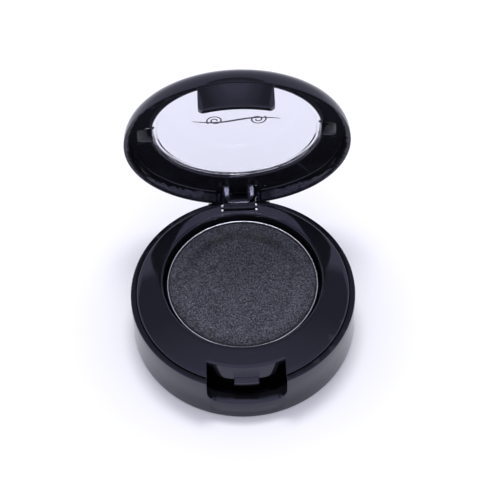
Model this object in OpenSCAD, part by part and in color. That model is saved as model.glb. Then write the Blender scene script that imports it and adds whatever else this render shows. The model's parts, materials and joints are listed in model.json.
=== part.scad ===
// Round pocket compact with a single eyeshadow pan under a hinged, windowed lid.
// Millimetres. The origin is the centre of the underside, +Z is up, and the hinge
// lies on the +Y side. The lid is drawn standing open.

/* [Base] */
// Diameter of the closed compact
body_d = 38.4; // [36:0.1:48]
// Height of the base, up to the ledge that the lid closes on
ledge_z = 9.6; // [8.6:0.1:13]
// Thickness of the base's side wall
base_wall = 2.0; // [1.8:0.1:2.4]
// Thickness of the base's floor
base_floor = 1.4; // [1:0.1:1.8]
// Rounding of the base's lower edge
foot_r = 0.4; // [0.2:0.1:0.8]
// Width of the finger notch in the front wall
notch_w = 13.4; // [11:0.1:15]
// Depth of the finger notch below the ledge
notch_depth = 5.0; // [4.6:0.1:5.6]
// Rounding of the notch's lower corners
notch_r = 1.8; // [0.6:0.1:2]

/* [Insert] */
// Height of the insert's outer edge above the ledge
insert_rise = 0.56; // [0.5:0.02:0.7]
// Slope of the insert's top, which falls from the well to the outer edge
insert_slope = 3.05; // [2:0.05:4]
// Thickness of the insert's plate at its outer edge
plate_t = 1.0; // [0.9:0.05:1.1]
// How far the pan's centre lies behind the compact's centre
pan_y = 2.1; // [1.6:0.1:2.1]
// Gap between the pan and the well's wall
well_gap = 0.64; // [0.3:0.02:0.64]
// Thickness of the well's wall and floor
well_wall = 0.8; // [0.6:0.1:0.8]
// Radius of the plate's edge behind the finger notch
apron_r = 15.6; // [15.4:0.1:15.8]
// How far the apron behind the finger notch flares out towards its foot
apron_flare = 0.6; // [0.4:0.05:0.7]
// Height of the apron's foot below the ledge
apron_drop = 2.0; // [1.8:0.1:2.4]
// Width of the catch bump
catch_w = 4.2; // [3:0.1:5]
// Height of the catch bump
catch_h = 0.9; // [0.8:0.05:1]
// How far the catch bump stands out of the apron's foot
catch_out = 0.9; // [0.6:0.05:0.9]

/* [Pan] */
// Outer diameter of the metal pan
pan_d = 26.0; // [25:0.1:26]
// Height of the pan
pan_h = 3.2; // [2.6:0.1:3.4]
// Thickness of the pan's sheet
pan_t = 0.25; // [0.2:0.05:0.4]
// Depth of the pan's rim below the well's mouth
pan_sink = 1.3; // [0.8:0.1:1.4]
// Thickness of the adhesive disc under the pan
adhesive_t = 0.15; // [0.1:0.05:0.2]
// Depth of the dish pressed into the powder
dish_depth = 0.4; // [0.2:0.05:0.6]

/* [Hinge] */
// Diameter of the steel pin
pin_d = 1.0; // [0.8:0.05:1.04]
// Height of the pin's axis below the ledge
hinge_drop = 0.8; // [0.78:0.01:0.84]
// Distance of the pin's axis inside the compact's outer wall
hinge_inset = 0.8; // [0.8:0.05:1]
// Radius of the lid's knuckle
knuckle_r = 1.65; // [1.4:0.05:1.7]
// Width of the slot for the knuckle
slot_w = 6.3; // [6:0.1:6.6]
// Width of each of the knuckle's two ribs
rib_w = 1.25; // [0.8:0.05:1.6]
// Width of each of the two lugs that hold the pin
lug_w = 2.25; // [2.1:0.05:2.5]
// Angle that the stop lets the lid open to
stop_angle = 86; // [80:1:88]

/* [Lid] */
// Height of the lid above the ledge
lid_h = 4.0; // [3.9:0.1:4.6]
// Rounding of the lid's outer edge
lid_r = 3.3; // [2:0.1:3.4]
// Depth of the ceiling next to the skirt
ceiling_d = 2.0; // [1.8:0.1:2.1]
// Thickness of the skirt's skin behind the knuckle
skirt_skin = 0.45; // [0.4:0.05:0.6]
// Thickness of the latch tab
tab_t = 1.3; // [1:0.1:1.5]
// Angle that the lid is drawn open at
lid_open = 86; // [0:1:86]

/* [Window] */
// Diameter of the window's flange
window_d = 28.8; // [27:0.1:28.8]
// Thickness of the window's flange
window_t = 0.5; // [0.4:0.05:0.6]
// Width of the lip that the flange rests on
lip_w = 0.45; // [0.3:0.05:0.6]
// Thickness of the lip outside the flange
lip_t = 0.3; // [0.2:0.05:0.4]
// Height of the collar round the window
collar_h = 0.4; // [0.2:0.05:0.5]
// Width of the two ears that fix the window
ear_w = 4.0; // [3:0.1:5]

/* [Clearances] */
// Gap between the insert's edge and the base's rim
insert_gap = 0.1; // [0.05:0.05:0.15]
// Gap between the insert's edge and the lid's skirt
skirt_gap = 0.1; // [0.08:0.02:0.2]
// Gap between the latch tab and the floor of its notch
tab_gap = 0.6; // [0.3:0.05:0.7]
// Gap between the latch tab and each side of its notch
tab_side_gap = 0.35; // [0.25:0.05:0.5]
// Gap between the knuckle and each side of its slot
knuckle_gap = 0.35; // [0.25:0.05:0.5]
// Gap between the knuckle and the front of its slot
slot_gap = 0.3; // [0.2:0.05:0.4]
// Gap between the latch hook and the catch bump, both under it and in front of it
hook_gap = 0.1; // [0.06:0.02:0.2]
// Radial gap between the knuckle's bore and the pin
pin_gap = 0.04; // [0.02:0.01:0.08]
// Gap between the lid's rim and the lugs that it swings round
land_gap = 0.08; // [0.06:0.01:0.1]
// Gap between the open lid and its stop
stop_gap = 0.05; // [0.03:0.01:0.08]
// Gap round the window
window_gap = 0.05; // [0.03:0.01:0.1]

/* [Hidden] */
$fn = 96;
eps = 0.01;
far = 40;

// Base
body_r = body_d / 2;
ledge_w = 0.93;                         // width of the ledge that the skirt rests on
rim_r = body_r - ledge_w;
bore_r = body_r - base_wall;            // inside of the side wall
notch_z = ledge_z - notch_depth;
label_d = 29;
label_t = 0.1;
label_gap = 0.2;
label_recess_t = 0.15;

// Insert
plate_r = rim_r - insert_gap;
edge_z = ledge_z + insert_rise;         // top of the insert at its outer edge
shoulder_z = edge_z - plate_t;          // seat of the insert
function plate_top(r) = edge_z + (plate_r - r) * tan(insert_slope);
plate_edge_r = 0.3;                     // rounding of the plate's outer edge
well_r = pan_d / 2 + well_gap;
lip_r = 0.35;                           // rounding of the well's mouth
pan_rim_z = plate_top(well_r) - pan_sink;
pan_z = pan_rim_z - pan_h;
well_floor_z = pan_z - adhesive_t;
plate_mid_z = shoulder_z + plate_t / 2;

spigot_gap = 0.08;
spigot_r = bore_r - spigot_gap;
spigot_t = 0.8;
spigot_h = 1.6;
spigot_end_gap = 0.7;                   // where the spigot stops short of the notch and the lugs
crush_rib_w = 0.6;

apron_foot_r = apron_r + apron_flare;
apron_z = ledge_z - apron_drop;
apron_t = 1.0;
apron_w = notch_w - 2.5;
apron_corner_r = 1.9;
plate_notch_w = notch_w - 0.2;
catch_z = apron_z + 0.3 - catch_h;       // the bump reaches a little above the apron's foot
catch_r = apron_foot_r + catch_out;
catch_edge_r = 0.25;

// Hinge
hinge_y = body_r - hinge_inset;
hinge_z = ledge_z - hinge_drop;
pin_r = pin_d / 2;
knuckle_w = slot_w - 2 * knuckle_gap;
slot_y = hinge_y - knuckle_r - slot_gap; // front edge of the slot
slot_z = hinge_z - knuckle_r - 1.2;     // floor of the slot
lug_span = slot_w + 2 * lug_w;
pin_l = lug_span - 1;
lug_y = hinge_y - 1.8;                  // front of the lugs
lug_foot_z = slot_z - 0.5;
lug_gap = 0.15;                         // room round the lugs, under the plate
land_r = hinge_drop - land_gap;         // round top of the lugs
land_w = lug_span + 1.8;                // width of the relief round the lugs
stop_drop = 0.35;                       // top of the stop, below the pin's axis
stop_y = hinge_y + (hinge_drop - stop_gap + stop_drop * cos(stop_angle)) / sin(stop_angle);

// Lid
skirt_in_r = plate_r + skirt_gap;
skirt_cut_w = slot_w + 1.6;             // pocket in the skirt, round the knuckle
seat_r = window_d / 2 + window_gap;     // bore that holds the window's flange
opening_r = seat_r - lip_w;
lip_z = ledge_z + lid_h - lip_t;
window_in_z = lip_z - window_t;
seat_step = 0.1;                        // how far the flange stands back from the ceiling
ceiling_mid_d = window_in_z - seat_step - ledge_z;
collar_t = 0.4;
ear_r = 16.9;
ear_t = 0.45;
ear_sink = 0.05;
tab_w = notch_w - 2 * tab_side_gap;
tab_out_r = body_r - 0.3;
tab_in_r = tab_out_r - tab_t;
tab_end_z = notch_z + tab_gap;
tab_taper = 0.25;                       // how much narrower each side is at the tip
tab_root = 1.2;                         // how far the tab reaches up into the skirt
tab_corner_r = 1.0;
hook_h = 0.7;
hook_z = catch_z - hook_gap - hook_h;
hook_w = catch_w + 1.2;
hook_r = catch_r + hook_gap;

plastic = [0.09, 0.09, 0.11];

// A square with its lower left corner at the origin and two rounded lower corners.
module round_bottom_rect(w, h, r) {
    translate([-w / 2, r]) square([w, h - r]);
    translate([-w / 2 + r, 0]) square([w - 2 * r, h]);
    for (s = [-1, 1]) translate([s * (w / 2 - r), r]) circle(r);
}

// A flat shape, drawn in X and Z, pushed along Y from y0 to y1.
module along_y(y0, y1) {
    translate([0, y1, 0]) rotate([90, 0, 0]) linear_extrude(y1 - y0) children();
}

// A rod along X, centred on the hinge axis.
module hinge_rod(r, l) {
    translate([-l / 2, hinge_y, hinge_z]) rotate([0, 90, 0]) cylinder(r = r, h = l);
}

// A ring with a square section.
module ring(r0, r1, z0, z1) {
    translate([0, 0, z0]) difference() {
        cylinder(r = r1, h = z1 - z0);
        translate([0, 0, -eps]) cylinder(r = r0, h = z1 - z0 + 2 * eps);
    }
}

// A block given by its lowest and its highest corner.
module block(a, b) {
    translate(a) cube(b - a);
}

// ---- Base ----

module base_section() {
    difference() {
        union() {
            translate([0, foot_r]) square([body_r, ledge_z - foot_r]);
            square([body_r - foot_r, ledge_z]);
            translate([body_r - foot_r, foot_r]) circle(foot_r);
        }
        translate([-eps, base_floor]) square([bore_r + eps, ledge_z]);
        translate([-eps, shoulder_z]) square([rim_r + eps, ledge_z]);
        translate([-eps, -eps]) square([label_d / 2 + label_gap + eps, label_recess_t + eps]);
    }
}

// What stands on each side of the slot and holds the pin.
module lugs() {
    for (s = [-1, 1]) {
        x0 = s < 0 ? -lug_span / 2 : slot_w / 2;
        block([x0, lug_y, lug_foot_z], [x0 + lug_w, hinge_y, hinge_z + land_r]);
        block([x0, hinge_y - eps, lug_foot_z], [x0 + lug_w, stop_y, hinge_z - stop_drop]);
    }
    hinge_rod(land_r, lug_span);
}

module base_shell() {
    color(plastic) difference() {
        union() {
            difference() {
                rotate_extrude() base_section();
                // The lid's rim turns round the pin here, so the wall's corner is taken off.
                block([-land_w / 2, hinge_y, hinge_z], [land_w / 2, far, far]);
            }
            lugs();
        }
        along_y(-far, -apron_r + apron_t) translate([0, notch_z]) round_bottom_rect(notch_w, far, notch_r);
        block([-slot_w / 2, 0, slot_z], [slot_w / 2, far, far]);
        hinge_rod(pin_r, far);
    }
}

// ---- Insert ----

// The plate's top is a very flat cone.
module plate() {
    corner_r = plate_r - plate_edge_r;
    corner_z = plate_top(corner_r) - plate_edge_r;
    rotate_extrude() {
        polygon([[0, shoulder_z], [plate_r, shoulder_z], [plate_r, corner_z],
                 [corner_r, plate_top(corner_r)], [0, plate_top(0)]]);
        translate([corner_r, corner_z]) circle(plate_edge_r);
    }
}

// The well's hollow. Its rounded mouth lies in the sloping top, so it leans back a little.
module well_hollow() {
    mouth_r = well_r + lip_r - eps;
    tilt = atan(pan_y * tan(insert_slope) / mouth_r);
    translate([0, pan_y, well_floor_z]) cylinder(r = well_r, h = far);
    translate([0, pan_y, plate_top(mouth_r)]) rotate([-tilt, 0, 0]) rotate_extrude() difference() {
        translate([0, -lip_r]) square([mouth_r, 1 + lip_r]);
        translate([mouth_r, -lip_r]) circle(lip_r);
    }
}

module spigot() {
    difference() {
        union() {
            ring(spigot_r - spigot_t, spigot_r, shoulder_z - spigot_h, shoulder_z + eps);
            for (a = [15 : 60 : 345]) rotate([0, 0, a])
                intersection() {
                    block([0, -crush_rib_w / 2, shoulder_z - spigot_h], [far, crush_rib_w / 2, shoulder_z]);
                    ring(spigot_r - eps, bore_r, shoulder_z - spigot_h, shoulder_z);
                }
        }
        block([-notch_w / 2 - spigot_end_gap, -far, 0], [notch_w / 2 + spigot_end_gap, 0, shoulder_z]);
        block([-lug_span / 2 - spigot_end_gap, 0, 0], [lug_span / 2 + spigot_end_gap, far, shoulder_z]);
    }
}

module apron() {
    intersection() {
        rotate_extrude()
            polygon([[apron_r - apron_t, plate_mid_z], [apron_foot_r - apron_t, apron_z],
                     [apron_foot_r, apron_z], [apron_r, plate_mid_z]]);
        along_y(-far, 0) translate([0, apron_z]) round_bottom_rect(apron_w, far, apron_corner_r);
    }
}

module catch_bump() {
    root_r = apron_r - apron_t / 2;
    intersection() {
        rotate_extrude() union() {
            translate([root_r, catch_z]) square([catch_r - catch_edge_r - root_r, catch_h]);
            translate([root_r, catch_z + catch_edge_r]) square([catch_r - root_r, catch_h - 2 * catch_edge_r]);
            for (z = [catch_z + catch_edge_r, catch_z + catch_h - catch_edge_r])
                translate([catch_r - catch_edge_r, z]) circle(catch_edge_r, $fn = 32);
        }
        block([-catch_w / 2, -far, 0], [catch_w / 2, 0, far]);
    }
}

module insert_tray() {
    color(plastic) {
        difference() {
            union() {
                plate();
                translate([0, pan_y, well_floor_z - well_wall])
                    cylinder(r = well_r + well_wall, h = plate_mid_z - well_floor_z + well_wall);
                spigot();
            }
            well_hollow();
            // Behind the finger notch the plate ends in an arc.
            difference() {
                block([-plate_notch_w / 2, -far, 0], [plate_notch_w / 2, 0, far]);
                cylinder(r = apron_r, h = far);
            }
            block([-slot_w / 2, slot_y, 0], [slot_w / 2, far, far]);
            // Room for the lugs under the plate.
            block([-lug_span / 2 - lug_gap, lug_y - lug_gap, 0],
                  [lug_span / 2 + lug_gap, far, hinge_z + land_r + 0.05]);
        }
        apron();
        catch_bump();
    }
}

// ---- Pan and powder ----

module pan() {
    bend = 0.6;                         // rounding between the floor and the wall
    color("silver") translate([0, pan_y, pan_z]) rotate_extrude() difference() {
        union() {
            translate([0, bend]) square([pan_d / 2, pan_h - bend]);
            square([pan_d / 2 - bend, pan_h]);
            translate([pan_d / 2 - bend, bend]) circle(bend);
        }
        translate([-eps, pan_t]) square([pan_d / 2 - pan_t + eps, pan_h]);
        translate([-far, -eps]) square([far, far]);
    }
}

module pan_adhesive() {
    color("khaki") translate([0, pan_y, well_floor_z]) cylinder(d = pan_d - 3, h = adhesive_t);
}

module eyeshadow_cake() {
    cake_r = pan_d / 2 - pan_t;
    h = pan_h - pan_t - 0.15;
    dish_r = cake_r - 2.6;
    color([0.2, 0.2, 0.23]) translate([0, pan_y, pan_z + pan_t]) rotate_extrude()
        polygon([[0, 0], [cake_r, 0], [cake_r, h - 0.45], [cake_r - 0.35, h - 0.1], [cake_r - 1, h],
                 [dish_r + 0.5, h - 0.03], [dish_r - 0.6, h - 0.55 * dish_depth],
                 [dish_r - 3, h - 0.9 * dish_depth], [0, h - dish_depth]]);
}

module bottom_label() {
    color("whitesmoke") translate([0, 0, label_recess_t - label_t]) cylinder(d = label_d, h = label_t);
}

module hinge_pin() {
    color("lightsteelblue") hinge_rod(pin_r, pin_l);
}

// ---- Lid, drawn closed and then turned about the pin ----

module opened() {
    translate([0, hinge_y, hinge_z]) rotate([-lid_open, 0, 0]) translate([0, -hinge_y, -hinge_z]) children();
}

module lid_outline() {
    square([body_r, lid_h - lid_r]);
    square([body_r - lid_r, lid_h]);
    intersection() {
        translate([body_r - lid_r, lid_h - lid_r]) circle(lid_r);
        square([far, far]);
    }
}

module lid_hollow() {
    bevel = 0.35;
    difference() {
        polygon([[0, -1], [skirt_in_r, -1], [skirt_in_r, ceiling_d - bevel], [skirt_in_r - 0.2, ceiling_d],
                 [seat_r + collar_t, ceiling_mid_d], [seat_r, ceiling_mid_d], [seat_r, lip_z - ledge_z],
                 [opening_r, lip_z - ledge_z], [opening_r, lid_h + 1], [0, lid_h + 1]]);
        collar_section();
    }
}

// A thin collar with a round edge, round the window.
module collar_section() {
    translate([seat_r + collar_t / 2, ceiling_mid_d - collar_h + collar_t / 2]) circle(collar_t / 2, $fn = 48);
    translate([seat_r, ceiling_mid_d - collar_h + collar_t / 2]) square([collar_t, collar_h]);
}

module latch_tab() {
    intersection() {
        ring(tab_in_r, tab_out_r, tab_end_z, ledge_z + tab_root);
        tab_outline();
    }
    intersection() {
        ring(hook_r, tab_in_r + eps, hook_z, hook_z + hook_h);
        block([-hook_w / 2, -far, 0], [hook_w / 2, 0, far]);
    }
}

module tab_outline() {
    root = tab_w / 2;
    tip = root - tab_taper;
    corner_z = tab_end_z + tab_corner_r;
    along_y(-far, 0) {
        polygon([[-root, ledge_z + tab_root], [-root, ledge_z], [-tip, corner_z],
                 [tip, corner_z], [root, ledge_z], [root, ledge_z + tab_root]]);
        translate([-tip + tab_corner_r, tab_end_z]) square([2 * (tip - tab_corner_r), tab_corner_r + eps]);
        for (s = [-1, 1]) translate([s * (tip - tab_corner_r), corner_z]) circle(tab_corner_r);
    }
}

// Barrel, two ribs and the web behind them, no further out than the lid and the base are.
module knuckle() {
    k = knuckle_w / 2;
    top = ledge_z + ceiling_d + 0.8;
    web_y = hinge_y - knuckle_r + 0.1;
    intersection() {
        union() {
            hinge_rod(knuckle_r, knuckle_w);
            for (x = [-k, k - rib_w])
                block([x, hinge_y - knuckle_r, hinge_z], [x + rib_w, body_r, top]);
            block([-k + eps, web_y, hinge_z], [k - eps, body_r, hinge_z + knuckle_r + 0.2]);
            block([-k + eps, hinge_y, hinge_z], [k - eps, body_r, top]);
        }
        translate([0, 0, ledge_z]) rotate_extrude() {
            lid_outline();
            translate([0, -ledge_z]) square([body_r, ledge_z + eps]);
        }
    }
}

// Flat-bottomed seats for the window's ears.
module ear_seats(grow, z0, z1) {
    intersection() {
        block([-far, -ear_w / 2 - grow, z0], [far, ear_w / 2 + grow, z1]);
        cylinder(r = ear_r + grow, h = far);
    }
}

module lid_shell() {
    color(plastic) opened() difference() {
        union() {
            difference() {
                translate([0, 0, ledge_z]) rotate_extrude() difference() {
                    lid_outline();
                    lid_hollow();
                }
                intersection() {
                    block([-skirt_cut_w / 2, 0, 0], [skirt_cut_w / 2, far, ledge_z + ceiling_d]);
                    cylinder(r = body_r - skirt_skin, h = far);
                }
            }
            knuckle();
            latch_tab();
        }
        ear_seats(window_gap, 0, window_in_z + ear_sink);
        hinge_rod(pin_r + pin_gap, far);
    }
}

module lid_window() {
    boss_r = opening_r - window_gap;
    dish_t = 0.15;                      // shallow dish in the window's inner face
    dish_r = boss_r - 0.5;
    color([0.9, 0.93, 0.97, 0.4]) opened() difference() {
        union() {
            translate([0, 0, window_in_z]) cylinder(d = window_d, h = window_t);
            translate([0, 0, window_in_z]) cylinder(r = boss_r, h = window_t + lip_t);
            ear_seats(0, window_in_z + ear_sink - ear_t, window_in_z + ear_sink);
        }
        translate([0, 0, window_in_z - ear_t]) cylinder(r = dish_r, h = ear_t + dish_t);
    }
}

base_shell();
insert_tray();
pan();
pan_adhesive();
eyeshadow_cake();
bottom_label();
hinge_pin();
lid_shell();
lid_window();
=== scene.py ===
# Looks of a round pocket compact with one eyeshadow pan, standing open.
# Metres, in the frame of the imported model: +Z up, the hinge on the +Y side.

import json
import math

import bmesh
import bpy
from mathutils import Matrix, Vector


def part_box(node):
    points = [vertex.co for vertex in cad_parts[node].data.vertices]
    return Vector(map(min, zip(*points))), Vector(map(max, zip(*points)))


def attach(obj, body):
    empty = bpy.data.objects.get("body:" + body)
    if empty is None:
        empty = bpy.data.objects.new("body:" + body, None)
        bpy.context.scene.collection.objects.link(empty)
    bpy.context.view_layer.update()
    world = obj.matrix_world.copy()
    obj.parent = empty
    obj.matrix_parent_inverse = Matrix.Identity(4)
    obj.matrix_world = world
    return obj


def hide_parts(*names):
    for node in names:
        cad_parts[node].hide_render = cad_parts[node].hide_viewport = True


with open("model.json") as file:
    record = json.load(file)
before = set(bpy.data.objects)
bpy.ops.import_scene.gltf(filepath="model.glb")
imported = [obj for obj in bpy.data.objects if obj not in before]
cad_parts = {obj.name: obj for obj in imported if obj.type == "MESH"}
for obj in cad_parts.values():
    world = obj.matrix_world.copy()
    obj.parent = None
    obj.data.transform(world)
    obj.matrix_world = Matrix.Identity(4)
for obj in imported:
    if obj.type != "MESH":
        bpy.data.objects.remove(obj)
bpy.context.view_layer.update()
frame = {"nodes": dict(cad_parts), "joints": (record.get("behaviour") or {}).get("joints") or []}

MM = 0.001
NODES = frame["nodes"]
HINGE = frame["joints"][0]

# Sizes in millimetres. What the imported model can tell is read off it, and the rest follows its design.
BODY_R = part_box("base_shell")[1].x / MM
LEDGE_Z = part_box("base_shell")[1].z / MM
PLATE_SEAT_Z = LEDGE_Z - 0.44
RIM_R = BODY_R - 0.93
BORE_R = BODY_R - 2.0
FLOOR_Z = 1.4
FOOT_R = 0.4
RECESS_R = 14.7
RECESS_T = 0.15

PAN_LOW, PAN_HIGH = (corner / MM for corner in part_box("pan"))
PAN_R = (PAN_HIGH.x - PAN_LOW.x) / 2
PAN_Y = (PAN_HIGH.y + PAN_LOW.y) / 2
PAN_SHEET = 0.25
POWDER_LOW = 0.15       # below the pan's rim
POWDER_EDGE_R = 0.5
DISH_DEPTH = 0.4
DISH_R = PAN_R - 2.85   # middle of the dish's wall
DISH_WALL = 2.2

PLATE_R = RIM_R - 0.1
PLATE_EDGE_R = 0.3
DOME_TOP_Z = LEDGE_Z + 1.479
DOME_WIDENING = 340     # square of the radius where the dome has fallen by 1 mm
WELL_R = PAN_R + 0.64
WELL_WALL = 0.8
WELL_FLOOR_Z = PAN_LOW.z - 0.15
LIP_R = 0.35
SPIGOT_GAP = 0.08
SPIGOT_T = 0.8
SPIGOT_H = 1.6

HINGE_Y = HINGE["pos_m"][1] / MM
HINGE_Z = HINGE["pos_m"][2] / MM
LID_OPEN = math.radians(HINGE["range_deg"][1])
PIN_R = 0.5
PIN_GAP = 0.04
BORE_REACH = 5          # to each side of the middle
SLOT_W = 6.3
SLOT_Y = 16.45
SLOT_Z = HINGE_Z - 2.85
LUG_W = 2.25
LUG_TOP = 0.72          # above the pin's axis
LUG_BACK = 0.776        # behind it
KNUCKLE_R = 1.65
KNUCKLE_W = SLOT_W - 0.7
RIB_W = 1.25

NOTCH_W = 13.4
NOTCH_Z = LEDGE_Z - 5.0
APRON_R = 15.6
APRON_FOOT_R = APRON_R + 0.6
APRON_Z = LEDGE_Z - 2
APRON_TOP_Z = LEDGE_Z + 0.06
APRON_T = 1
CATCH_R = APRON_FOOT_R + 0.9
CATCH_LOW = APRON_Z - 0.6
CATCH_HIGH = APRON_Z + 0.3
CATCH_W = 4.2
TAB_LOW = NOTCH_Z + 0.6
TAB_OUT_R = BODY_R - 0.3
TAB_IN_R = BODY_R - 1.6
HOOK_R = CATCH_R + 0.1
HOOK_LOW = CATCH_LOW - 0.8
HOOK_H = 0.7
HOOK_W = 5.4

LID_H = 4.0
LID_ROUND = 3.3
LID_LIFT = 0.03         # keeps the closed lid's rim and the ledge from sharing a plane
CEILING_D = 2.0
SKIRT_SKIN = 0.45
SEAT_R = 14.45
LIP_T = 0.3
OPENING_R = SEAT_R - 0.15
COLLAR_W = 0.4
WINDOW_D = LID_H - 0.8
WINDOW_T = 0.5
WINDOW_GAP = 0.05
LENS_STEP = 0.25        # the step round the inner face of the window
EAR_R = 16.9
EAR_W = 4.0

FAR = 40
TURN_STEPS = 240


# ---- Outlines ----

def rounded(corners, steps=6):
    """Points of a closed outline; each corner is (u, v, radius of its rounding)."""
    points = []
    for i, (u, v, radius) in enumerate(corners):
        here = Vector((u, v))
        back = Vector(corners[i - 1][:2]) - here
        ahead = Vector(corners[(i + 1) % len(corners)][:2]) - here
        if radius <= 0:
            points.append(here)
            continue
        half = back.angle(ahead) / 2
        reach = radius / math.tan(half)
        middle = here + (back.normalized() + ahead.normalized()).normalized() * radius / math.sin(half)
        start = here + back.normalized() * reach - middle
        stop = here + ahead.normalized() * reach - middle
        sweep = start.angle_signed(stop)
        for k in range(steps + 1):
            turn = Matrix.Rotation(-sweep * k / steps, 2)
            points.append(middle + turn @ start)
    return points


def dome_z(x, y):
    """Height of the insert's softly domed top, which stays within 0.2 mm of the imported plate."""
    return DOME_TOP_Z - (x * x + y * y) / DOME_WIDENING


# ---- Solids ----

def new_piece(name, verts, faces):
    """A mesh object from points in millimetres, with its faces turned outwards."""
    mesh = bpy.data.meshes.new(name)
    mesh.from_pydata([Vector(v) * MM for v in verts], [], faces)
    piece = bpy.data.objects.new(name, mesh)
    bpy.context.scene.collection.objects.link(piece)
    tidy(piece)
    return piece


def tidy(piece, weld=0.0005):
    """Welds doubles and turns every face outwards."""
    work = bmesh.new()
    work.from_mesh(piece.data)
    bmesh.ops.remove_doubles(work, verts=work.verts, dist=weld * MM)
    bmesh.ops.recalc_face_normals(work, faces=work.faces)
    work.to_mesh(piece.data)
    work.free()


def stitch(rings):
    """Quads between rings of equal length, with the last ring joined to the first."""
    n = len(rings[0])
    faces = []
    for a, b in zip(rings, rings[1:]):
        for k in range(n):
            m = (k + 1) % n
            faces.append((a[k], a[m], b[m], b[k]))
    return faces


def turned(name, outline, place=None):
    """Turns an outline of (radius, height) about Z. place(radius, height, angle, index) can shift its points."""
    place = place or (lambda r, z, a, i: (r * math.cos(a), r * math.sin(a), z))
    verts, rings = [], []
    for i, (r, z) in enumerate(outline):
        rings.append([])
        for k in range(TURN_STEPS):
            if r < 1e-6 and k:
                rings[-1].append(rings[-1][0])
                continue
            rings[-1].append(len(verts))
            verts.append(place(r, z, math.tau * (k + 0.5) / TURN_STEPS, i))
    faces = []
    for quad in stitch(rings + rings[:1]):
        corners = list(dict.fromkeys(quad))
        if len(corners) > 2:
            faces.append(corners)
    return new_piece(name, verts, faces)


def along_x(name, outline, x0, x1):
    """An outline of (y, z) pushed along X."""
    n = len(outline)
    verts = [(x, y, z) for x in (x0, x1) for y, z in outline]
    return new_piece(name, verts, stitch([list(range(n)), list(range(n, 2 * n))])
                     + [list(range(n))[::-1], list(range(n, 2 * n))])


def along_y(name, outline, y0, y1):
    """An outline of (x, z) pushed along Y."""
    n = len(outline)
    verts = [(x, y, z) for y in (y0, y1) for x, z in outline]
    return new_piece(name, verts, stitch([list(range(n)), list(range(n, 2 * n))])
                     + [list(range(n))[::-1], list(range(n, 2 * n))])


def block(name, low, high):
    return along_x(name, [(low[1], low[2]), (high[1], low[2]), (high[1], high[2]), (low[1], high[2])],
                   low[0], high[0])


def disc_points(y, z, radius, steps=64):
    """A circle in the plane across X."""
    return [(y + radius * math.cos(math.tau * k / steps), z + radius * math.sin(math.tau * k / steps))
            for k in range(steps)]


def curved(name, columns, side):
    """A slab that follows the round body: columns are (x, section), a section is (radius, height) points."""
    n = len(columns[0][1])
    verts = [(x, side * math.sqrt(r * r - x * x), z) for x, section in columns for r, z in section]
    rings = [list(range(i * n, (i + 1) * n)) for i in range(len(columns))]
    return new_piece(name, verts, stitch(rings) + [rings[0][::-1], rings[-1]])


def round_ended(half_w, corner, taper=0.0, steps=10):
    """Columns (x, rise of the lower edge) of a tongue whose lower corners are round."""
    tip = half_w - taper
    arc = [(tip - corner + corner * math.sin(a), corner - corner * math.cos(a))
           for a in (math.pi / 2 * k / steps for k in range(steps + 1))]
    flat = [((tip - corner) * k / 12, 0.0) for k in range(12)]
    right = flat + arc
    return [(-x, rise) for x, rise in right[:0:-1]] + right


def settle(piece):
    """Replaces a piece's mesh with what its modifiers make of it."""
    depsgraph = bpy.context.evaluated_depsgraph_get()
    mesh = bpy.data.meshes.new_from_object(piece.evaluated_get(depsgraph))
    piece.modifiers.clear()
    old = piece.data
    piece.data = mesh
    bpy.data.meshes.remove(old)


def combine(piece, tool, how):
    """Cuts, joins or keeps what two solids share. The tool is used up."""
    step = piece.modifiers.new(how, "BOOLEAN")
    step.operation = how
    step.object = tool
    step.solver = "EXACT"
    settle(piece)
    bpy.data.objects.remove(tool)


def cut(piece, *tools):
    for tool in tools:
        combine(piece, tool, "DIFFERENCE")


def join(piece, *tools):
    for tool in tools:
        combine(piece, tool, "UNION")


def soften(piece, width, angle=38, keep_flat=False):
    """Breaks the sharp edges and shades the rest smooth. keep_flat stops broad flat faces shading as domes."""
    tidy(piece, 0.02)
    if width:
        step = piece.modifiers.new("broken_edges", "BEVEL")
        step.width = width * MM
        step.segments = 2
        step.limit_method = "ANGLE"
        step.angle_limit = math.radians(angle)
        step.use_clamp_overlap = False
        settle(piece)
    for face in piece.data.polygons:
        face.use_smooth = True
    piece.data.set_sharp_from_angle(angle=math.radians(angle))
    if keep_flat:
        step = piece.modifiers.new("flat_faces", "WEIGHTED_NORMAL")
        step.keep_sharp = True
        settle(piece)


def open_up(piece):
    """Turns a lid piece, made closed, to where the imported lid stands."""
    axis = Vector((0, HINGE_Y, HINGE_Z)) * MM
    turn = Matrix.Translation(axis) @ Matrix.Rotation(-LID_OPEN, 4, "X") @ Matrix.Translation(-axis)
    piece.data.transform(turn)


def mount(piece, body, slot, mat, *nodes):
    """Gives a finished piece its material and its body, and hides the nodes that it stands for."""
    piece.data.materials.clear()
    piece.data.materials.append(mat)
    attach(piece, body)
    if nodes:
        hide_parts(*nodes)


# ---- Pieces of the base ----

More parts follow.
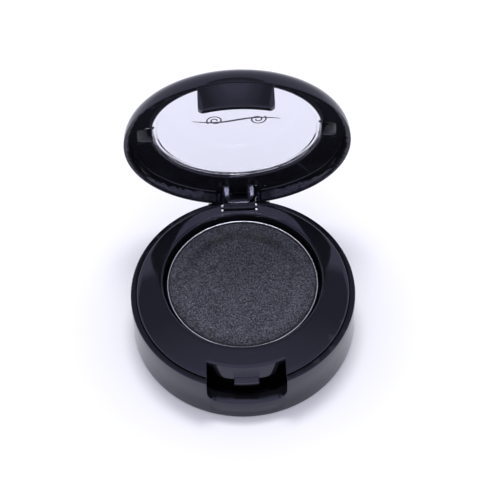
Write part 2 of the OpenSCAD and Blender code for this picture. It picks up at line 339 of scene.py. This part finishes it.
def make_base(mat):
    base = turned("base_cup", rounded([
        (0, RECESS_T, 0), (RECESS_R, RECESS_T, 0.04), (RECESS_R, 0, 0.06), (BODY_R, 0, FOOT_R),
        (BODY_R, LEDGE_Z, 0.16), (RIM_R, LEDGE_Z, 0.08), (RIM_R, PLATE_SEAT_Z, 0.04), (BORE_R, PLATE_SEAT_Z, 0.04),
        (BORE_R, FLOOR_Z, 0.4), (0, FLOOR_Z, 0)]))
    relief = SLOT_W / 2 + LUG_W + 0.9
    cut(base, block("relief", (-relief, HINGE_Y, HINGE_Z), (relief, FAR, FAR)))
    front, back = HINGE_Y - 1.8, HINGE_Y + LUG_BACK
    foot, step, top = SLOT_Z - 0.5, HINGE_Z - 0.35, HINGE_Z + LUG_TOP
    lug = rounded([(front, foot, 0), (back, foot, 0), (back, step, 0.1), (HINGE_Y + 0.6, step, 0),
                   (HINGE_Y + LUG_TOP, top, 0.7), (front, top, 0.1)])
    for side in (-1, 1):
        x0, x1 = sorted((side * SLOT_W / 2, side * (SLOT_W / 2 + LUG_W)))
        join(base, along_x("lug", lug, x0, x1))
    notch = rounded([(-NOTCH_W / 2, NOTCH_Z, 1.8), (NOTCH_W / 2, NOTCH_Z, 1.8),
                     (NOTCH_W / 2, FAR, 0), (-NOTCH_W / 2, FAR, 0)], 8)
    cut(base, along_y("notch", notch, -FAR, -APRON_R + 1),
        block("slot", (-SLOT_W / 2, 0, SLOT_Z), (SLOT_W / 2, FAR, FAR)),
        along_x("bore", disc_points(HINGE_Y, HINGE_Z, PIN_R), -FAR, FAR))
    soften(base, 0.1)
    mount(base, "base", "base_plastic", mat, "base_shell")


def insert_outline():
    """Half section of the insert. Each point is its radius, its height, how far its ring's centre follows the
    well, and whether the height is measured down from the dome."""
    outline = [(0, WELL_FLOOR_Z, 1, False), (WELL_R - 0.3, WELL_FLOOR_Z, 1, False),
               (WELL_R, WELL_FLOOR_Z + 0.3, 1, False)]
    for k in range(9):
        a = math.pi / 2 * k / 8
        outline.append((WELL_R + LIP_R - LIP_R * math.cos(a), LIP_R * (1 - math.sin(a)), 1, True))
    start, stop = WELL_R + LIP_R, PLATE_R - PLATE_EDGE_R
    for k in range(1, 9):
        share = k / 8
        outline.append((start + (stop - start) * share, 0, 1 - share, True))
    for k in range(1, 7):
        a = math.pi / 2 * k / 6
        outline.append((stop + PLATE_EDGE_R * math.sin(a), PLATE_EDGE_R * (1 - math.cos(a)), 0, True))
    outline += [(PLATE_R, PLATE_SEAT_Z, 0, False), (WELL_R + WELL_WALL, PLATE_SEAT_Z, 1, False),
                (WELL_R + WELL_WALL, WELL_FLOOR_Z - WELL_WALL, 1, False), (0, WELL_FLOOR_Z - WELL_WALL, 1, False)]
    return outline


def make_insert(mat):
    outline = insert_outline()

    def place(r, z, a, i):
        follow, from_dome = outline[i][2:]
        x, y = r * math.cos(a), r * math.sin(a) + follow * PAN_Y
        return (x, y, dome_z(x, y) - z if from_dome else z)

    insert = turned("insert_plate", [point[:2] for point in outline], place)
    join(insert, spigot())
    half = NOTCH_W / 2 - 0.1
    arc = [(APRON_R * math.sin(a), -APRON_R * math.cos(a))
           for a in (math.asin(half / APRON_R) * k / 16 for k in range(-16, 17))]
    hollow = arc + [(half, -FAR), (-half, -FAR)]
    n = len(hollow)
    cutter = new_piece("front_cut", [(x, y, z) for z in (0, FAR) for x, y in hollow],
                       stitch([list(range(n)), list(range(n, 2 * n))])
                       + [list(range(n))[::-1], list(range(n, 2 * n))])
    reach = SLOT_W / 2 + LUG_W + 0.15
    cut(insert, cutter,
        block("slot", (-SLOT_W / 2, SLOT_Y, 0), (SLOT_W / 2, FAR, FAR)),
        block("lug_room", (-reach, HINGE_Y - 1.95, 0), (reach, FAR, HINGE_Z + 0.77)))
    flare = (APRON_FOOT_R - APRON_R) / (APRON_TOP_Z - APRON_Z)
    apron = []
    for x, rise in round_ended(NOTCH_W / 2 - 1.25, 1.9):
        low_r, low_z = APRON_FOOT_R - rise * flare, APRON_Z + rise
        apron.append((x, rounded([(low_r, low_z, 0.05), (APRON_R, APRON_TOP_Z, 0),
                                  (APRON_R - APRON_T, APRON_TOP_Z, 0), (low_r - APRON_T, low_z, 0)], 3)))
    root_r = APRON_R - APRON_T / 2
    catch = [(CATCH_W / 2 * k / 8, [(CATCH_R, CATCH_LOW), (CATCH_R, CATCH_HIGH), (root_r, CATCH_HIGH),
                                    (root_r, CATCH_LOW)]) for k in range(-8, 9)]
    join(insert, curved("apron", apron, -1), curved("bump", catch, -1))
    soften(insert, 0.07)
    mount(insert, "base", "insert_plastic", mat, "insert_tray")


def spigot():
    """The ring that holds the insert in the base, open behind the notch and at the hinge."""
    r1 = BORE_R - SPIGOT_GAP
    r0, z0, z1 = r1 - SPIGOT_T, PLATE_SEAT_Z - SPIGOT_H, PLATE_SEAT_Z + 0.2
    ring = turned("spigot", [(r0, z0), (r1, z0), (r1, z1), (r0, z1)])
    front, back = NOTCH_W / 2 + 0.7, SLOT_W / 2 + LUG_W + 0.7
    cut(ring, block("front", (-front, -FAR, 0), (front, 0, FAR)), block("back", (-back, 0, 0), (back, FAR, FAR)))
    return ring


def about_pan(r, z, a, i):
    return (r * math.cos(a), r * math.sin(a) + PAN_Y, z)


def make_pan(mat):
    low, high = PAN_LOW.z, PAN_HIGH.z
    pan = turned("pan_cup", rounded([
        (0, low, 0), (PAN_R, low, 0.6), (PAN_R, high, 0.11), (PAN_R - PAN_SHEET, high, 0.11),
        (PAN_R - PAN_SHEET, low + PAN_SHEET, 0.35), (0, low + PAN_SHEET, 0)]), about_pan)
    soften(pan, 0)
    mount(pan, "base", "pan_metal", mat, "pan")


def make_powder(mat):
    """Pressed powder, with a rolled edge and a round dish left by the press."""
    low, top = PAN_LOW.z + PAN_SHEET, PAN_HIGH.z - POWDER_LOW
    edge = PAN_R - PAN_SHEET - 0.005
    outline = [(0, low), (edge, low), (edge, top - POWDER_EDGE_R)]
    outline += [(edge - POWDER_EDGE_R * (1 - math.cos(a)), top - POWDER_EDGE_R * (1 - math.sin(a)))
                for a in (math.pi / 2 * k / 6 for k in range(1, 7))]
    wall_fall, outer = 0.75 * DISH_DEPTH, DISH_R + 0.9
    for k in range(25):
        share = k / 24
        fall = 0.5 - 0.5 * math.cos(math.pi * share)
        outline.append((outer - DISH_WALL * share, top - wall_fall * fall))
    inner, floor_fall = outer - DISH_WALL, DISH_DEPTH - wall_fall
    outline += [(inner * (1 - k / 12), top - wall_fall - floor_fall * math.sin(math.pi / 2 * k / 12))
                for k in range(1, 13)]
    cake = turned("powder_cake", outline, about_pan)
    soften(cake, 0)
    mount(cake, "base", "powder", mat, "eyeshadow_cake")


# ---- Pieces of the lid, made closed ----

def make_lid(mat):
    def at(*corners):
        return [(r, LEDGE_Z + d, radius) for r, d, radius in corners]

    lid = turned("lid_cover", rounded(at(
        (BODY_R, LID_LIFT, 0.12), (BODY_R, LID_H, LID_ROUND), (OPENING_R, LID_H, 0.06),
        (OPENING_R, LID_H - LIP_T, 0), (SEAT_R, LID_H - LIP_T, 0), (SEAT_R, WINDOW_D - 0.5, 0.19),
        (SEAT_R + COLLAR_W, WINDOW_D - 0.5, 0.19),
        (SEAT_R + COLLAR_W, WINDOW_D - 0.1, 0.08), (RIM_R - 0.1, CEILING_D, 0.25), (RIM_R, LID_LIFT, 0.08)), 16))
    skin_r = BODY_R - SKIRT_SKIN
    pocket_w = SLOT_W / 2 + 0.8
    pocket = [(x, [(15, LEDGE_Z - 1), (skin_r, LEDGE_Z - 1), (skin_r, LEDGE_Z + 2), (15, LEDGE_Z + 2)])
              for x in (pocket_w * k / 10 for k in range(-10, 11))]
    cut(lid, curved("pocket", pocket, 1),
        ear_solid("ear_room", WINDOW_GAP, LEDGE_Z, LEDGE_Z + WINDOW_D + WINDOW_GAP))
    k = KNUCKLE_W / 2
    top, front, back = LEDGE_Z + 2.8, HINGE_Y - KNUCKLE_R, BODY_R - 0.2
    barrel = [(min(y, back), z) for y, z in disc_points(HINGE_Y, HINGE_Z, KNUCKLE_R)]
    rib = rounded([(front, HINGE_Z - 1.2, 1.1), (back, HINGE_Z - 1.2, 0.3), (back, LEDGE_Z + 0.6, 0),
                   (HINGE_Y - 0.6, top, 0), (front, top, 0)])
    web = [(HINGE_Y, HINGE_Z), (back, HINGE_Z), (back, LEDGE_Z + 0.8), (HINGE_Y + 0.1, top), (HINGE_Y, top)]
    join(lid, along_x("web", web, -k + 0.3, k - 0.3),
         along_x("rib_left", rib, -k, -k + RIB_W), along_x("rib_right", rib, k - RIB_W, k),
         along_x("barrel", barrel, -k + 0.02, k - 0.02))
    cut(lid, along_x("bore", disc_points(HINGE_Y, HINGE_Z, PIN_R + PIN_GAP), -BORE_REACH, BORE_REACH))
    root_z = LEDGE_Z + 1.2
    tab = [(x, rounded([(TAB_OUT_R, TAB_LOW + rise, 0.3), (TAB_OUT_R, root_z, 0), (TAB_IN_R, root_z, 0),
                        (TAB_IN_R, TAB_LOW + rise, 0.3)], 5))
           for x, rise in round_ended(NOTCH_W / 2 - 0.35, 1.0, 0.12)]
    root_r = TAB_IN_R + 0.2
    hook = [(HOOK_W / 2 * i / 6, rounded([(root_r, HOOK_LOW, 0), (root_r, HOOK_LOW + HOOK_H, 0),
                                          (HOOK_R, HOOK_LOW + 0.5, 0.12), (HOOK_R, HOOK_LOW + 0.1, 0.12)], 3))
            for i in range(-6, 7)]
    join(lid, curved("tab", tab, -1), curved("hook", hook, -1))
    soften(lid, 0.07)
    open_up(lid)
    mount(lid, "lid", "lid_plastic", mat, "lid_shell")


def ear_solid(name, grow, z0, z1):
    """A bar across the lid with round ends, as wide as the window's ears."""
    half, reach = EAR_W / 2 + grow, EAR_R + grow
    arc = [(math.sqrt(reach * reach - y * y), y) for y in (half * k / 8 for k in range(-8, 9))]
    loop = arc + [(-x, y) for x, y in arc[::-1]]
    n = len(loop)
    return new_piece(name, [(x, y, z) for z in (z0, z1) for x, y in loop],
                     stitch([list(range(n)), list(range(n, 2 * n))])
                     + [list(range(n))[::-1], list(range(n, 2 * n))])


def make_window(mat):
    z = LEDGE_Z + WINDOW_D
    flange_r, boss_r, top = SEAT_R - WINDOW_GAP, OPENING_R - WINDOW_GAP, z + WINDOW_T + LIP_T
    window = turned("lid_lens", rounded([
        (0, z + LENS_STEP, 0), (boss_r - 0.75, z + LENS_STEP, 0.1), (boss_r - 0.45, z, 0.1), (flange_r, z, 0.12),
        (flange_r, z + WINDOW_T, 0.05), (boss_r, z + WINDOW_T, 0), (boss_r, top, 0.12), (0, top, 0)], 4))
    ears = ear_solid("ears", 0, z - 0.4, z + 0.05)
    cut(ears, turned("ear_gap", [(0, z - 1), (boss_r - 0.2, z - 1), (boss_r - 0.2, z + 1), (0, z + 1)]))
    join(window, ears)
    soften(window, 0.05, keep_flat=True)
    open_up(window)
    mount(window, "lid", "window_plastic", mat, "lid_window")


# ---- Materials ----

def new_material(name):
    """An empty node material, its tree and its shader."""
    mat = bpy.data.materials.new(name)
    mat.use_nodes = True
    return mat, mat.node_tree, mat.node_tree.nodes["Principled BSDF"]


def add(tree, kind, **values):
    """Adds a node. Values with a lower-case name are properties, the others are inputs."""
    made = tree.nodes.new(kind)
    for name, value in values.items():
        if name[0].islower():
            setattr(made, name, value)
        else:
            made.inputs[name.replace("_", " ")].default_value = value
    return made


def object_noise(tree, scale, detail=2.0, roughness=0.5):
    """Noise in the piece's own coordinates; scale is in features to the metre."""
    coords = add(tree, "ShaderNodeTexCoord")
    noise = add(tree, "ShaderNodeTexNoise", Scale=scale, Detail=detail, Roughness=roughness)
    tree.links.new(coords.outputs["Object"], noise.inputs["Vector"])
    return noise


def spread(tree, source, low, high, start=0.3, stop=0.7):
    """Maps a value between start and stop to between low and high."""
    ramp = add(tree, "ShaderNodeMapRange", From_Min=start, From_Max=stop, To_Min=low, To_Max=high)
    tree.links.new(source, ramp.inputs["Value"])
    return ramp.outputs["Result"]


def tint(tree, source, low, high):
    """Mixes two colours by a value."""
    mix = add(tree, "ShaderNodeMix", data_type="RGBA")
    mix.inputs[6].default_value = (*low, 1)
    mix.inputs[7].default_value = (*high, 1)
    tree.links.new(source, mix.inputs[0])
    return mix.outputs[2]


def bump(tree, shader, height, strength, distance):
    made = add(tree, "ShaderNodeBump", Strength=strength, Distance=distance)
    tree.links.new(height, made.inputs["Height"])
    tree.links.new(made.outputs["Normal"], shader.inputs["Normal"])


def polished_black(name, roughness, ior=1.53, shade=0.006):
    """Black moulded plastic with a polished face and faint flow marks. Its edges are slightly hazy and painted
    lighter: a painted highlight.
    """
    mat, tree, shader = new_material(name)
    flow = object_noise(tree, 160, 3)
    fine = object_noise(tree, 3500, 2)
    edges = add(tree, "ShaderNodeNewGeometry")
    # Painted highlight: convex edges get a lighter base colour. The same mask also makes them rougher.
    painted_edge_light_and_haze = spread(tree, edges.outputs["Pointiness"], 0, 1, 0.52, 0.62)
    tree.links.new(tint(tree, painted_edge_light_and_haze, (shade, shade, shade * 1.35), (0.016, 0.016, 0.021)),
                   shader.inputs["Base Color"])
    haze = add(tree, "ShaderNodeMath", operation="MULTIPLY_ADD")
    haze.inputs[1].default_value = 0.12
    tree.links.new(painted_edge_light_and_haze, haze.inputs[0])
    tree.links.new(spread(tree, flow.outputs["Fac"], roughness * 0.8, roughness * 1.3), haze.inputs[2])
    tree.links.new(haze.outputs[0], shader.inputs["Roughness"])
    shader.inputs["IOR"].default_value = ior
    shader.inputs["Specular Tint"].default_value = (0.72, 0.71, 1.0, 1)
    bump(tree, shader, fine.outputs["Fac"], 0.02, 0.00001)
    return mat


def bright_metal(name, low, high):
    mat, tree, shader = new_material(name)
    grain = object_noise(tree, 3000, 4)
    shader.inputs["Metallic"].default_value = 1
    tree.links.new(tint(tree, grain.outputs["Fac"], low, high), shader.inputs["Base Color"])
    tree.links.new(spread(tree, grain.outputs["Fac"], 0.1, 0.2), shader.inputs["Roughness"])
    return mat


def pressed_powder():
    """Charcoal powder full of fine flakes, some of them bright. A slope that faces the front of the compact is
    painted darker and one that faces the back a little lighter: painted shade and light, as from a lamp behind."""
    mat, tree, shader = new_material("pressed_powder")
    coords = add(tree, "ShaderNodeTexCoord")
    flakes = add(tree, "ShaderNodeTexVoronoi", Scale=9500)
    tree.links.new(coords.outputs["Object"], flakes.inputs["Vector"])
    pick = add(tree, "ShaderNodeSeparateColor")
    tree.links.new(flakes.outputs["Color"], pick.inputs["Color"])
    cloud = object_noise(tree, 5000, 3, 0.7)
    body = tint(tree, cloud.outputs["Fac"], (0.004, 0.004, 0.006), (0.022, 0.022, 0.029))
    glint = spread(tree, pick.outputs[0], 0, 1, 0.5, 1.0)
    mix = add(tree, "ShaderNodeMix", data_type="RGBA")
    mix.inputs[7].default_value = (0.16, 0.16, 0.2, 1)
    tree.links.new(body, mix.inputs[6])
    tree.links.new(glint, mix.inputs[0])
    # Painted shade: the colour is scaled by which way the surface faces, darker towards the front, lighter towards
    # the back.
    faced = add(tree, "ShaderNodeSeparateXYZ")
    tree.links.new(add(tree, "ShaderNodeNewGeometry").outputs["Normal"], faced.inputs[0])
    painted_facing_shade = spread(tree, faced.outputs["Y"], 0.35, 1.12, -0.2, 0.05)
    lit = add(tree, "ShaderNodeVectorMath", operation="SCALE")
    tree.links.new(mix.outputs[2], lit.inputs[0])
    tree.links.new(painted_facing_shade, lit.inputs["Scale"])
    tree.links.new(lit.outputs[0], shader.inputs["Base Color"])
    tree.links.new(spread(tree, pick.outputs[1], 0.35, 0.75), shader.inputs["Roughness"])
    shader.inputs["Specular IOR Level"].default_value = 0.35
    bump(tree, shader, pick.outputs[2], 0.25, 0.00003)
    return mat


def clear_plastic():
    mat, tree, shader = new_material("clear_plastic")
    haze = object_noise(tree, 300, 3)
    tree.links.new(spread(tree, haze.outputs["Fac"], 0.0, 0.015), shader.inputs["Roughness"])
    shader.inputs["Base Color"].default_value = (0.88, 0.885, 0.95, 1)
    shader.inputs["Transmission Weight"].default_value = 1
    shader.inputs["IOR"].default_value = 1.49
    return mat


def paper():
    mat, tree, shader = new_material("label_paper")
    fibre = object_noise(tree, 2500, 4)
    tree.links.new(tint(tree, fibre.outputs["Fac"], (0.8, 0.8, 0.78), (0.9, 0.9, 0.88)),
                   shader.inputs["Base Color"])
    shader.inputs["Roughness"].default_value = 0.45
    return mat


def print_ink():
    mat, tree, shader = new_material("grey_print")
    grain = object_noise(tree, 5000, 3)
    tree.links.new(tint(tree, grain.outputs["Fac"], (0.05, 0.05, 0.055), (0.12, 0.12, 0.13)),
                   shader.inputs["Base Color"])
    shader.inputs["Roughness"].default_value = 0.4
    return mat


# ---- The ornament printed on the window ----

def scroll_tree():
    """Draws a thin spiral stroke twice, the second turned half round, with its sizes as named inputs."""
    tree = bpy.data.node_groups.new("scroll_stroke", "GeometryNodeTree")
    face = tree.interface
    face.new_socket("Material", in_out="INPUT", socket_type="NodeSocketMaterial")
    for name, size in (("Turns", 1.6), ("Start radius", 0.3 * MM), ("End radius", 1.45 * MM),
                       ("Stroke", 0.13 * MM)):
        face.new_socket(name, in_out="INPUT", socket_type="NodeSocketFloat").default_value = size
    face.new_socket("Geometry", in_out="OUTPUT", socket_type="NodeSocketGeometry")
    inlet, outlet = add(tree, "NodeGroupInput"), add(tree, "NodeGroupOutput")
    spiral = add(tree, "GeometryNodeCurveSpiral", Resolution=40, Height=0.0)
    stroke = add(tree, "GeometryNodeCurvePrimitiveCircle", Resolution=8)
    body = add(tree, "GeometryNodeCurveToMesh", Fill_Caps=True)
    points = add(tree, "GeometryNodeMeshLine", Count=2)
    points.inputs["Start Location"].default_value = (-3.6 * MM, 0, 0)
    points.inputs["Offset"].default_value = (7.2 * MM, 0, 0)
    index = add(tree, "GeometryNodeInputIndex")
    half_turn = add(tree, "ShaderNodeMath", operation="MULTIPLY")
    half_turn.inputs[1].default_value = math.pi
    euler = add(tree, "ShaderNodeCombineXYZ")
    copies = add(tree, "GeometryNodeInstanceOnPoints")
    real = add(tree, "GeometryNodeRealizeInstances")
    paint = add(tree, "GeometryNodeSetMaterial")
    link = tree.links.new
    link(inlet.outputs["Turns"], spiral.inputs["Rotations"])
    link(inlet.outputs["Start radius"], spiral.inputs["Start Radius"])
    link(inlet.outputs["End radius"], spiral.inputs["End Radius"])
    link(inlet.outputs["Stroke"], stroke.inputs["Radius"])
    link(spiral.outputs[0], body.inputs["Curve"])
    link(stroke.outputs[0], body.inputs["Profile Curve"])
    link(points.outputs[0], copies.inputs["Points"])
    link(body.outputs[0], copies.inputs["Instance"])
    link(index.outputs[0], half_turn.inputs[0])
    link(half_turn.outputs[0], euler.inputs["Z"])
    link(euler.outputs[0], copies.inputs["Rotation"])
    link(copies.outputs[0], real.inputs[0])
    link(real.outputs[0], paint.inputs["Geometry"])
    link(inlet.outputs["Material"], paint.inputs["Material"])
    link(paint.outputs[0], outlet.inputs[0])
    return tree


def stroke_mesh(points, widths, thick):
    """A flat stroke through points, tapering as widths say, as one closed solid."""
    verts, rings = [], []
    for i, (x, y) in enumerate(points):
        before, after = points[max(i - 1, 0)], points[min(i + 1, len(points) - 1)]
        along = Vector((after[0] - before[0], after[1] - before[1])).normalized()
        across = Vector((-along.y, along.x)) * widths[i] / 2
        rings.append(list(range(len(verts), len(verts) + 4)))
        verts += [(x - across.x, y - across.y, 0), (x + across.x, y + across.y, 0),
                  (x + across.x, y + across.y, thick), (x - across.x, y - across.y, thick)]
    return verts, stitch(rings) + [rings[0][::-1], rings[-1]]


def make_ornament(mat):
    """Two scrolls and a long waved line: a pattern with no letters in it."""
    host = bpy.data.objects.new("scrolls", bpy.data.meshes.new("scrolls"))
    bpy.context.scene.collection.objects.link(host)
    tree = scroll_tree()
    step = host.modifiers.new("scrolls", "NODES")
    step.node_group = tree
    for item in tree.interface.items_tree:
        if item.in_out == "INPUT" and item.name == "Material":
            step[item.identifier] = mat
    scrolls = bpy.data.meshes.new_from_object(host.evaluated_get(bpy.context.evaluated_depsgraph_get()))
    bpy.data.objects.remove(host)
    steps, reach = 48, 7.4
    spots = [(-reach + 2 * reach * k / steps, 0.55 * math.sin(math.tau * k / steps)) for k in range(steps + 1)]
    widths = [0.08 + 0.3 * math.sin(math.pi * k / steps) for k in range(steps + 1)]
    line = new_piece("window_ornament", *stroke_mesh(spots, widths, 0.06))
    work = bmesh.new()
    work.from_mesh(line.data)
    low = len(work.verts)
    work.from_mesh(scrolls)
    work.verts.ensure_lookup_table()
    for v in work.verts[low:]:
        v.co.z = 0.03 * MM + v.co.z * 0.2
    bmesh.ops.recalc_face_normals(work, faces=work.faces)
    work.to_mesh(line.data)
    work.free()
    place = Vector((0, -2.8, LEDGE_Z + WINDOW_D + LENS_STEP - 0.058)) * MM
    line.data.transform(Matrix.Translation(place))
    for face in line.data.polygons:
        face.use_smooth = True
    line.data.set_sharp_from_angle(angle=math.radians(40))
    open_up(line)
    mount(line, "lid", "lid_plastic", mat)


# ---- Camera, light and floor ----

CAMERA_DISTANCE = 0.350
CAMERA_ELEVATION = math.radians(56.01)
CAMERA_AZIMUTH = math.radians(-0.54)
CAMERA_ROLL = math.radians(1.8)
CAMERA_AIM = Vector((-0.22, 0, 25.40)) * MM
CAMERA_LENS = 159.3


def make_camera():
    a, e, r = CAMERA_AZIMUTH, CAMERA_ELEVATION, CAMERA_ROLL
    back = Vector((math.sin(a) * math.cos(e), -math.cos(a) * math.cos(e), math.sin(e)))
    level = Vector((math.cos(a), math.sin(a), 0))
    rise = back.cross(level)
    right = level * math.cos(r) - rise * math.sin(r)
    up = level * math.sin(r) + rise * math.cos(r)
    data = bpy.data.cameras.new("camera")
    data.lens = CAMERA_LENS
    data.sensor_width = 36
    data.clip_start = 0.01
    cam = bpy.data.objects.new("camera", data)
    turn = Matrix((right, up, back)).transposed().to_4x4()
    cam.matrix_world = Matrix.Translation(CAMERA_AIM + back * CAMERA_DISTANCE) @ turn
    bpy.context.scene.collection.objects.link(cam)
    bpy.context.scene.camera = cam


def make_floor():
    mat, tree, shader = new_material("floor")
    cloud = object_noise(tree, 12, 2)
    tree.links.new(tint(tree, cloud.outputs["Fac"], (0.95, 0.95, 0.955), (0.97, 0.97, 0.975)),
                   shader.inputs["Base Color"])
    shader.inputs["Roughness"].default_value = 0.9
    half = 2.0
    mesh = bpy.data.meshes.new("floor")
    mesh.from_pydata([(-half, -half, 0), (half, -half, 0), (half, half, 0), (-half, half, 0)], [], [(0, 1, 2, 3)])
    mesh.materials.append(mat)
    floor = bpy.data.objects.new("floor", mesh)
    bpy.context.scene.collection.objects.link(floor)


def soft_light(name, place, aim, size, watts):
    data = bpy.data.lights.new(name, "AREA")
    data.shape = "RECTANGLE"
    data.size, data.size_y = size
    data.energy = watts
    lamp = bpy.data.objects.new(name, data)
    lamp.location = place
    lamp.rotation_euler = (Vector(place) - Vector(aim)).to_track_quat("Z", "Y").to_euler()
    lamp.visible_glossy = False
    bpy.context.scene.collection.objects.link(lamp)


# Brightness of the studio by the height that a ray looks at: a white backdrop up to 52 degrees,
# the dark gap above it, and the soft light overhead.
STUDIO = [(0.0, 1.1), (0.782, 1.05), (0.797, 0.27), (0.868, 0.33), (0.90, 0.55), (0.945, 0.8), (0.975, 1.2),
          (1.0, 1.2)]


def make_light():
    world = bpy.data.worlds.new("studio")
    bpy.context.scene.world = world
    world.use_nodes = True
    tree = world.node_tree
    coords = add(tree, "ShaderNodeTexCoord")
    split = add(tree, "ShaderNodeSeparateXYZ")
    ramp = add(tree, "ShaderNodeValToRGB")
    top = max(level for _, level in STUDIO)
    points = ramp.color_ramp.elements
    while len(points) < len(STUDIO):
        points.new(0.5)
    for point, (height, level) in zip(points, STUDIO):
        point.position = height
        point.color = (level / top * 0.86, level / top * 0.86, level / top, 1)
    tree.links.new(coords.outputs["Generated"], split.inputs[0])
    tree.links.new(split.outputs["Z"], ramp.inputs["Fac"])
    sky = tree.nodes["Background"]
    tree.links.new(ramp.outputs["Color"], sky.inputs["Color"])
    sky.inputs["Strength"].default_value = top
    soft_light("back_box", (0.0, 0.16, 0.62), (0, 0, 0.01), (0.22, 0.14), 1.6)


BLACK = polished_black("base_black", 0.06)
LID_BLACK = polished_black("lid_black", 0.07, 1.47)
METAL = bright_metal("pan_metal", (0.66, 0.66, 0.68), (0.84, 0.84, 0.86))
STEEL = bright_metal("pin_steel", (0.45, 0.45, 0.47), (0.6, 0.6, 0.62))
PAPER = paper()

for node, mat in {"hinge_pin": STEEL, "bottom_label": PAPER, "pan_adhesive": PAPER}.items():
    for s in NODES[node].material_slots:
        s.material = mat

make_camera()
make_base(BLACK)
make_insert(BLACK)
make_pan(METAL)
make_powder(pressed_powder())
make_lid(LID_BLACK)
make_window(clear_plastic())
make_ornament(print_ink())
make_floor()
make_light()
bpy.context.scene.view_settings.view_transform = "Standard"
